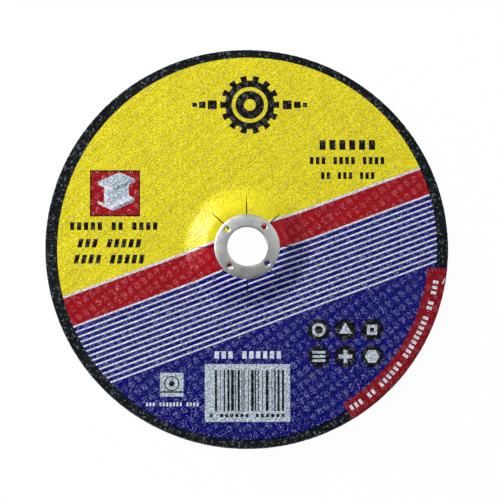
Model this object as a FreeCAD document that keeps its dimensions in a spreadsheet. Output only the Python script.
"""Depressed-centre grinding wheel, 230 x 6 x 22.23 mm.

The wheel lies with its work face down and its raised hub up. The origin is on the bore's axis in the plane
of the work face, and +Z leaves through the hub. All sizes are in millimetres and all angles in degrees.
"""

import FreeCAD, Part

import math
import os

import Sketcher

# Driving sizes: name, value, what it is
SIZES = [
    ("wheel_radius", 115.0, "outer radius of the wheel"),
    ("wheel_thickness", 6.0, "thickness of the flat rim"),
    ("recess_depth", 4.6, "depth of the recess, and height of the raised hub"),
    ("hub_flat_margin", 4.0, "distance from the ring's flange to the corner of the hub's flat"),
    ("hub_slope", 12.0, "width of the hub's slope between its corners"),
    ("recess_flat_step", 1.5, "how much further out the recess's inner corner lies than the hub's"),
    ("recess_foot_step", 0.5, "how much further out the recess's outer corner lies than the hub's"),
    ("hub_fillet", 12.0, "fillets of the hub's slope"),
    ("recess_fillet", 8.0, "fillets of the recess's slope"),
    ("slope_share", 0.48, "largest share of a slope that each of its two fillets can take"),
    ("bore_radius", 11.115, "inner radius of the steel ring"),
    ("steel_sheet", 0.6, "thickness of the ring's sheet"),
    ("flange_radius", 18.5, "outer radius of the ring's flange"),
    ("flange_chamfer", 0.15, "chamfer of the flange's punched edge"),
    ("mouth_chamfer", 0.45, "broken corner at the mouth of the bore"),
    ("tube_setback", 0.2, "distance from the recess's floor to the end of the tube"),
    ("ring_clearance", 0.05, "radial play of the tube in the wheel"),
    ("pin_hole_radius", 1.5, "radius of the flange's small holes"),
    ("pin_hole_angle", 49.5, "direction of the first small hole"),
    ("pin_hole_count", 4, "number of small holes"),
    ("paper", 0.2, "thickness of the label"),
    ("label_margin", 5.6, "width of the bare rim outside the label"),
    ("label_shift_x", 0.4, "how far the label sits off the axis along X"),
    ("label_shift_y", 0.5, "how far the label sits off the axis along Y"),
    ("label_hole_play", 1.2, "gap between the tube and the label's hole"),
    ("slit_length", 11.0, "how far the slits reach out from under the flange"),
    ("slit_width", 0.4, "width of a slit"),
    ("slit_angle", 1.0, "direction of the first slit"),
    ("slit_count", 8, "number of slits"),
    ("tab_margin", 0.5, "distance from the tab's edge to the wheel's edge"),
    ("tab_start", -58.0, "direction of the tab's lower end"),
    ("tab_sweep", 52.3, "angle that the tab covers"),
    ("net_margin", 2.5, "bare ring of the work face outside the net"),
    ("net_inner_margin", 0.9, "bare ring of the work face between the recess's fillet and the net"),
    ("yarn_thickness", 0.15, "thickness of one flattened yarn"),
    ("yarn_width", 1.5, "width of one flattened yarn"),
    ("warp_pitch", 6.04, "distance between the warp yarns"),
    ("weft_pitch", 4.64, "distance between the weft yarns"),
    ("net_angle", 38.0, "direction of the warp yarns"),
]

# Sizes that follow from the driving ones
DERIVED = [
    ("net_thickness", "=2 * yarn_thickness"),
    ("net_radius", "=wheel_radius - net_margin"),
    ("hub_top", "=wheel_thickness + recess_depth"),
    ("hub_flat_radius", "=flange_radius + hub_flat_margin"),
    ("hub_foot_radius", "=hub_flat_radius + hub_slope"),
    ("recess_flat_radius", "=hub_flat_radius + recess_flat_step"),
    ("recess_foot_radius", "=hub_foot_radius + recess_foot_step"),
    ("recess_slope", "=recess_foot_radius - recess_flat_radius"),
    ("hub_angle", "=atan(recess_depth / hub_slope)"),
    ("recess_angle", "=atan(recess_depth / recess_slope)"),
    ("hub_bend_limit", "=slope_share * hub_slope / cos(hub_angle) / tan(hub_angle / 2)"),
    ("recess_bend_limit", "=slope_share * recess_slope / cos(recess_angle) / tan(recess_angle / 2)"),
    ("hub_bend", "=min(hub_fillet; hub_bend_limit)"),
    ("recess_bend", "=min(recess_fillet; recess_bend_limit)"),
    ("recess_bend_reach", "=recess_bend * tan(recess_angle / 2)"),
    ("flange_seat", "=hub_top + paper"),
    ("flange_top", "=flange_seat + steel_sheet"),
    ("tube_end", "=recess_depth + tube_setback"),
    ("tube_radius", "=bore_radius + steel_sheet"),
    ("wheel_bore_radius", "=tube_radius + ring_clearance"),
    ("label_hole_radius", "=tube_radius + label_hole_play"),
    ("pin_circle_radius", "=(tube_radius + flange_radius) / 2"),
    ("slit_reach", "=flange_radius + slit_length"),
    ("net_hole_radius", "=recess_foot_radius + recess_bend_reach + net_inner_margin"),
    ("label_radius", "=wheel_radius - label_margin"),
    ("tab_radius", "=wheel_radius - tab_margin"),
    ("blank_radius", "=wheel_radius + 1"),
    ("trim_radius", "=wheel_radius + 5"),
    ("warp_gaps", "=2 * ceil((net_radius - yarn_width / 2) / warp_pitch)"),
    ("weft_gaps", "=2 * ceil((net_radius - yarn_width / 2) / weft_pitch)"),
]

UP = FreeCAD.Vector(0, 0, 1)

doc = FreeCAD.newDocument("GrindingWheel")
sheet = doc.addObject("Spreadsheet::Sheet", "Sizes")


def fill_sheet():
    """Write every size to the sheet, one to a row, with its name as the cell's alias."""
    for row, (name, value, note) in enumerate(SIZES, start=1):
        sheet.set(f"A{row}", name)
        sheet.set(f"B{row}", str(value))
        sheet.setAlias(f"B{row}", name)
        sheet.set(f"C{row}", note)
    for row, (name, formula) in enumerate(DERIVED, start=len(SIZES) + 1):
        sheet.set(f"A{row}", name)
        sheet.set(f"B{row}", formula)
        sheet.setAlias(f"B{row}", name)
    doc.recompute()


def evaluate(expression):
    """The number that an expression in the sheet's names has now."""
    return float(sheet.evalExpression(expression.replace("Sizes.", "")))


def origin_item(body, role):
    """One of a body's own origin planes or axes."""
    return next(item for item in body.Origin.OriginFeatures if item.Role == role)


def new_body(name):
    body = doc.addObject("PartDesign::Body", name)
    body.Label = name
    return body


def new_sketch(body, name, plane):
    """A sketch on one of the body's own origin planes."""
    sketch = body.newObject("Sketcher::SketchObject", name)
    sketch.AttachmentSupport = [(origin_item(body, plane), "")]
    sketch.MapMode = "FlatFace"
    return sketch


def bind(sketch, kind, references, name, expression):
    """Add a named dimension to a sketch and tie it to the sheet."""
    number = sketch.addConstraint(Sketcher.Constraint(kind, *references, evaluate(expression)))
    sketch.renameConstraint(number, name)
    sketch.setExpression(f"Constraints.{name}", expression)


def draw_profile(sketch, corners):
    """Draw a closed outline whose corners are pairs of expressions, radius first and height second."""
    points = [FreeCAD.Vector(evaluate(across), evaluate(up), 0) for across, up in corners]
    count = len(points)
    for k in range(count):
        sketch.addGeometry(Part.LineSegment(points[k], points[(k + 1) % count]), False)
    for k in range(count):
        sketch.addConstraint(Sketcher.Constraint("Coincident", k, 2, (k + 1) % count, 1))
    for k, (across, up) in enumerate(corners):
        bind(sketch, "DistanceX", (-1, 1, k, 1), f"across_{k}", across)
        bind(sketch, "DistanceY", (-1, 1, k, 1), f"up_{k}", up)


def draw_circle(sketch, name, radius, along="0"):
    """Draw a circle on the sketch's horizontal axis, at a distance from the origin where one is given."""
    centre = FreeCAD.Vector(evaluate(along), 0, 0)
    circle = sketch.addGeometry(Part.Circle(centre, UP, evaluate(radius)), False)
    if along == "0":
        sketch.addConstraint(Sketcher.Constraint("Coincident", circle, 3, -1, 1))
    else:
        sketch.addConstraint(Sketcher.Constraint("PointOnObject", circle, 3, -1))
        bind(sketch, "DistanceX", (-1, 1, circle, 3), f"{name}_along", along)
    bind(sketch, "Radius", (circle,), f"{name}_radius", radius)


def revolve(body, sketch, name):
    """Turn a profile in the XZ plane right round the Z axis."""
    feature = body.newObject("PartDesign::Revolution", name)
    feature.Profile = sketch
    feature.ReferenceAxis = (origin_item(body, "Z_Axis"), [""])
    feature.Angle = 360
    sketch.Visibility = False
    doc.recompute()
    return feature


def pad(body, sketch, thickness, name):
    feature = body.newObject("PartDesign::Pad", name)
    feature.Profile = sketch
    feature.setExpression("Length", thickness)
    sketch.Visibility = False
    doc.recompute()
    return feature


def circles_at(shape, places):
    """Names of the circles about the Z axis at the given pairs of radius and height."""
    names = []
    for number, edge in enumerate(shape.Edges, start=1):
        if not isinstance(edge.Curve, Part.Circle):
            continue
        radius = edge.Curve.Radius
        height = edge.Curve.Center.z
        if any(abs(radius - r) < 1e-4 and abs(height - z) < 1e-4 for r, z in places):
            names.append(f"Edge{number}")
    return names


def dress(body, base, kind, expression, places, name):
    """Fillet or chamfer the circles at the given pairs of expressions."""
    numbers = [(evaluate(across), evaluate(up)) for across, up in places]
    feature = body.newObject(f"PartDesign::{kind}", name)
    feature.Base = (base, circles_at(base.Shape, numbers))
    feature.setExpression("Radius" if kind == "Fillet" else "Size", expression)
    doc.recompute()
    return feature


def pocket_through(body, sketch, name):
    """Cut a sketch in the XY plane right through the piece, both ways."""
    before = body.Shape.Volume
    feature = body.newObject("PartDesign::Pocket", name)
    feature.Profile = sketch
    feature.Type = "ThroughAll"
    feature.SideType = "Symmetric"
    sketch.Visibility = False
    doc.recompute()
    if feature.Shape.Volume >= before:
        raise RuntimeError(f"{name} cuts nothing")
    return feature


def repeat_round(body, pocket, count, name):
    """Repeat a pocket evenly round the Z axis."""
    pattern = body.newObject("PartDesign::PolarPattern", name)
    pattern.Originals = [pocket]
    pattern.Axis = (origin_item(body, "Z_Axis"), [""])
    pattern.Angle = 360
    pattern.setExpression("Occurrences", count)
    body.Tip = pattern
    doc.recompute()
    return pattern


def turn_sketch(sketch, angle):
    """Turn a sketch about the Z axis by an angle from the sheet."""
    sketch.AttachmentOffset = FreeCAD.Placement(FreeCAD.Vector(), FreeCAD.Rotation(UP, evaluate(angle)))
    sketch.setExpression("AttachmentOffset.Rotation.Angle", angle)


def make_abrasive_body():
    """The moulded disc: flat rim, raised hub, and a shallow seat for the net in its work face."""
    body = new_body("abrasive_body")
    sketch = new_sketch(body, "DiscProfile", "XZ_Plane")
    draw_profile(sketch, [
        ("Sizes.wheel_bore_radius", "Sizes.hub_top"),
        ("Sizes.hub_flat_radius", "Sizes.hub_top"),
        ("Sizes.hub_foot_radius", "Sizes.wheel_thickness"),
        ("Sizes.wheel_radius", "Sizes.wheel_thickness"),
        ("Sizes.wheel_radius", "0"),
        ("Sizes.net_radius", "0"),
        ("Sizes.net_radius", "Sizes.net_thickness"),
        ("Sizes.net_hole_radius", "Sizes.net_thickness"),
        ("Sizes.net_hole_radius", "0"),
        ("Sizes.recess_foot_radius", "0"),
        ("Sizes.recess_flat_radius", "Sizes.recess_depth"),
        ("Sizes.wheel_bore_radius", "Sizes.recess_depth"),
    ])
    disc = revolve(body, sketch, "Disc")
    hub = dress(body, disc, "Fillet", "Sizes.hub_bend", [
        ("Sizes.hub_flat_radius", "Sizes.hub_top"),
        ("Sizes.hub_foot_radius", "Sizes.wheel_thickness"),
    ], "HubFillets")
    dress(body, hub, "Fillet", "Sizes.recess_bend", [
        ("Sizes.recess_flat_radius", "Sizes.recess_depth"),
        ("Sizes.recess_foot_radius", "0"),
    ], "RecessFillets")
    return body


def make_yarns(name, pitch, gaps, angle, level):
    """One layer of the net: a flat ring cut into parallel yarns, then turned and raised to its level."""
    body = new_body(name)
    ring = new_sketch(body, f"{name}_ring_outline", "XY_Plane")
    draw_circle(ring, "outer", "Sizes.net_radius")
    draw_circle(ring, "inner", "Sizes.net_hole_radius")
    pad(body, ring, "Sizes.yarn_thickness", f"{name}_ring")
    gap = new_sketch(body, f"{name}_gap_outline", "XY_Plane")
    near = f"-{gaps} / 2 * {pitch} + Sizes.yarn_width / 2"
    far = f"-({gaps} / 2 - 1) * {pitch} - Sizes.yarn_width / 2"
    draw_profile(gap, [
        ("-Sizes.trim_radius", near),
        ("Sizes.trim_radius", near),
        ("Sizes.trim_radius", far),
        ("-Sizes.trim_radius", far),
    ])
    first_gap = pocket_through(body, gap, f"{name}_gap")
    pattern = body.newObject("PartDesign::LinearPattern", f"{name}_gaps")
    pattern.Originals = [first_gap]
    pattern.Direction = (origin_item(body, "Y_Axis"), [""])
    pattern.Mode = "Spacing"
    pattern.setExpression("Offset", pitch)
    pattern.setExpression("Occurrences", gaps)
    body.Tip = pattern
    body.Placement = FreeCAD.Placement(FreeCAD.Vector(), FreeCAD.Rotation(UP, evaluate(angle)))
    body.setExpression("Placement.Base.z", level)
    body.setExpression("Placement.Rotation.Angle", angle)
    doc.recompute()
    return body


def make_glass_net():
    """The reinforcing net, flush in its seat: warp yarns below, weft yarns laid across them above."""
    warp = make_yarns("warp", "Sizes.warp_pitch", "Sizes.warp_gaps", "Sizes.net_angle", "0")
    weft = make_yarns("weft", "Sizes.weft_pitch", "Sizes.weft_gaps", "Sizes.net_angle + 90",
                      "Sizes.yarn_thickness")
    net = doc.addObject("Part::Compound", "glass_net")
    net.Label = "glass_net"
    net.Links = [warp, weft]
    doc.recompute()
    return net


def draw_label_outline(sketch):
    """Draw a wide circle and, inside it, the label's own edge.

    The edge is a circle a little off the axis, with a tab that reaches the rim between two radial ends.
    """
    draw_circle(sketch, "outside", "Sizes.trim_radius")
    centre = FreeCAD.Vector(evaluate("Sizes.label_shift_x"), evaluate("Sizes.label_shift_y"), 0)
    axis = FreeCAD.Vector(0, 0, 0)
    label_radius = evaluate("Sizes.label_radius")
    tab_radius = evaluate("Sizes.tab_radius")
    low = math.radians(evaluate("Sizes.tab_start"))
    high = math.radians(evaluate("Sizes.tab_start + Sizes.tab_sweep"))

    def on_circle(middle, radius, angle):
        return middle + FreeCAD.Vector(radius * math.cos(angle), radius * math.sin(angle), 0)

    label_circle = Part.Circle(centre, UP, label_radius)
    tab_circle = Part.Circle(axis, UP, tab_radius)
    edge = sketch.addGeometry(Part.ArcOfCircle(label_circle, high, low + 2 * math.pi), False)
    tab = sketch.addGeometry(Part.ArcOfCircle(tab_circle, low, high), False)
    ends = []
    for angle in (low, high):
        inner = on_circle(centre, label_radius, angle)
        outer = on_circle(axis, tab_radius, angle)
        ends.append(sketch.addGeometry(Part.LineSegment(inner, outer), False))
    low_end, high_end = ends
    sketch.addConstraint(Sketcher.Constraint("Coincident", tab, 3, -1, 1))
    bind(sketch, "DistanceX", (-1, 1, edge, 3), "shift_x", "Sizes.label_shift_x")
    bind(sketch, "DistanceY", (-1, 1, edge, 3), "shift_y", "Sizes.label_shift_y")
    bind(sketch, "Radius", (edge,), "label_radius", "Sizes.label_radius")
    bind(sketch, "Radius", (tab,), "tab_radius", "Sizes.tab_radius")
    for first, second in (((edge, 2), (low_end, 1)), ((low_end, 2), (tab, 1)),
                          ((tab, 2), (high_end, 2)), ((high_end, 1), (edge, 1))):
        sketch.addConstraint(Sketcher.Constraint("Coincident", *first, *second))
    for line, name, angle in ((low_end, "low_angle", "Sizes.tab_start"),
                              (high_end, "high_angle", "Sizes.tab_start + Sizes.tab_sweep")):
        sketch.addConstraint(Sketcher.Constraint("PointOnObject", -1, 1, line))
        number = sketch.addConstraint(Sketcher.Constraint("Angle", line, math.radians(evaluate(angle))))
        sketch.renameConstraint(number, name)
        sketch.setExpression(f"Constraints.{name}", angle)


def make_paper_label():
    """The label: it follows the hub, is slit outwards from its hole, and reaches the rim with a tab."""
    body = new_body("paper_label")
    sketch = new_sketch(body, "PaperProfile", "XZ_Plane")
    draw_profile(sketch, [
        ("Sizes.label_hole_radius", "Sizes.hub_top"),
        ("Sizes.hub_flat_radius", "Sizes.hub_top"),
        ("Sizes.hub_foot_radius", "Sizes.wheel_thickness"),
        ("Sizes.blank_radius", "Sizes.wheel_thickness"),
        ("Sizes.blank_radius", "Sizes.wheel_thickness + Sizes.paper"),
        ("Sizes.hub_foot_radius", "Sizes.wheel_thickness + Sizes.paper"),
        ("Sizes.hub_flat_radius", "Sizes.hub_top + Sizes.paper"),
        ("Sizes.label_hole_radius", "Sizes.hub_top + Sizes.paper"),
    ])
    blank = revolve(body, sketch, "PaperBlank")
    dress(body, blank, "Fillet", "Sizes.hub_bend", [
        ("Sizes.hub_flat_radius", "Sizes.hub_top"),
        ("Sizes.hub_foot_radius", "Sizes.wheel_thickness"),
        ("Sizes.hub_foot_radius", "Sizes.wheel_thickness + Sizes.paper"),
        ("Sizes.hub_flat_radius", "Sizes.hub_top + Sizes.paper"),
    ], "PaperFillets")
    outline = new_sketch(body, "LabelOutline", "XY_Plane")
    draw_label_outline(outline)
    pocket_through(body, outline, "OutsideTheLabel")
    slit = new_sketch(body, "SlitOutline", "XY_Plane")
    turn_sketch(slit, "Sizes.slit_angle")
    draw_profile(slit, [
        ("Sizes.tube_radius", "-Sizes.slit_width / 2"),
        ("Sizes.slit_reach", "-Sizes.slit_width / 2"),
        ("Sizes.slit_reach", "Sizes.slit_width / 2"),
        ("Sizes.tube_radius", "Sizes.slit_width / 2"),
    ])
    first_slit = pocket_through(body, slit, "Slit")
    repeat_round(body, first_slit, "Sizes.slit_count", "Slits")
    return body


def make_arbor_ring():
    """The ring that lines the bore, drawn from sheet steel: a flange on the label, a tube in the bore."""
    body = new_body("arbor_ring")
    sketch = new_sketch(body, "RingProfile", "XZ_Plane")
    draw_profile(sketch, [
        ("Sizes.bore_radius", "Sizes.flange_top"),
        ("Sizes.flange_radius", "Sizes.flange_top"),
        ("Sizes.flange_radius", "Sizes.flange_seat"),
        ("Sizes.tube_radius", "Sizes.flange_seat"),
        ("Sizes.tube_radius", "Sizes.tube_end"),
        ("Sizes.bore_radius", "Sizes.tube_end"),
    ])
    ring = revolve(body, sketch, "Ring")
    mouth = dress(body, ring, "Chamfer", "Sizes.mouth_chamfer", [
        ("Sizes.bore_radius", "Sizes.flange_top"),
    ], "Mouth")
    dress(body, mouth, "Chamfer", "Sizes.flange_chamfer", [
        ("Sizes.flange_radius", "Sizes.flange_top"),
    ], "PunchedEdge")
    hole = new_sketch(body, "PinHoleOutline", "XY_Plane")
    turn_sketch(hole, "Sizes.pin_hole_angle")
    draw_circle(hole, "pin_hole", "Sizes.pin_hole_radius", "Sizes.pin_circle_radius")
    first_hole = pocket_through(body, hole, "PinHole")
    repeat_round(body, first_hole, "Sizes.pin_hole_count", "PinHoles")
    return body


def check_document():
    """Stop if any object of the document failed."""
    for item in doc.Objects:
        if "Invalid" in item.State or "Error" in item.State:
            raise RuntimeError(f"{item.Label} failed: {item.State}")


def main():
    fill_sheet()
    pieces = [make_abrasive_body(), make_glass_net(), make_paper_label(), make_arbor_ring()]
    doc.recompute()
    check_document()
    for piece in pieces:
        if piece.Shape.isNull() or not piece.Shape.isValid():
            raise RuntimeError(f"{piece.Label} has no valid shape")
    os.makedirs("parts", exist_ok=True)
    for piece in pieces:
        piece.Shape.exportStep(f"parts/{piece.Label}.step")


main()
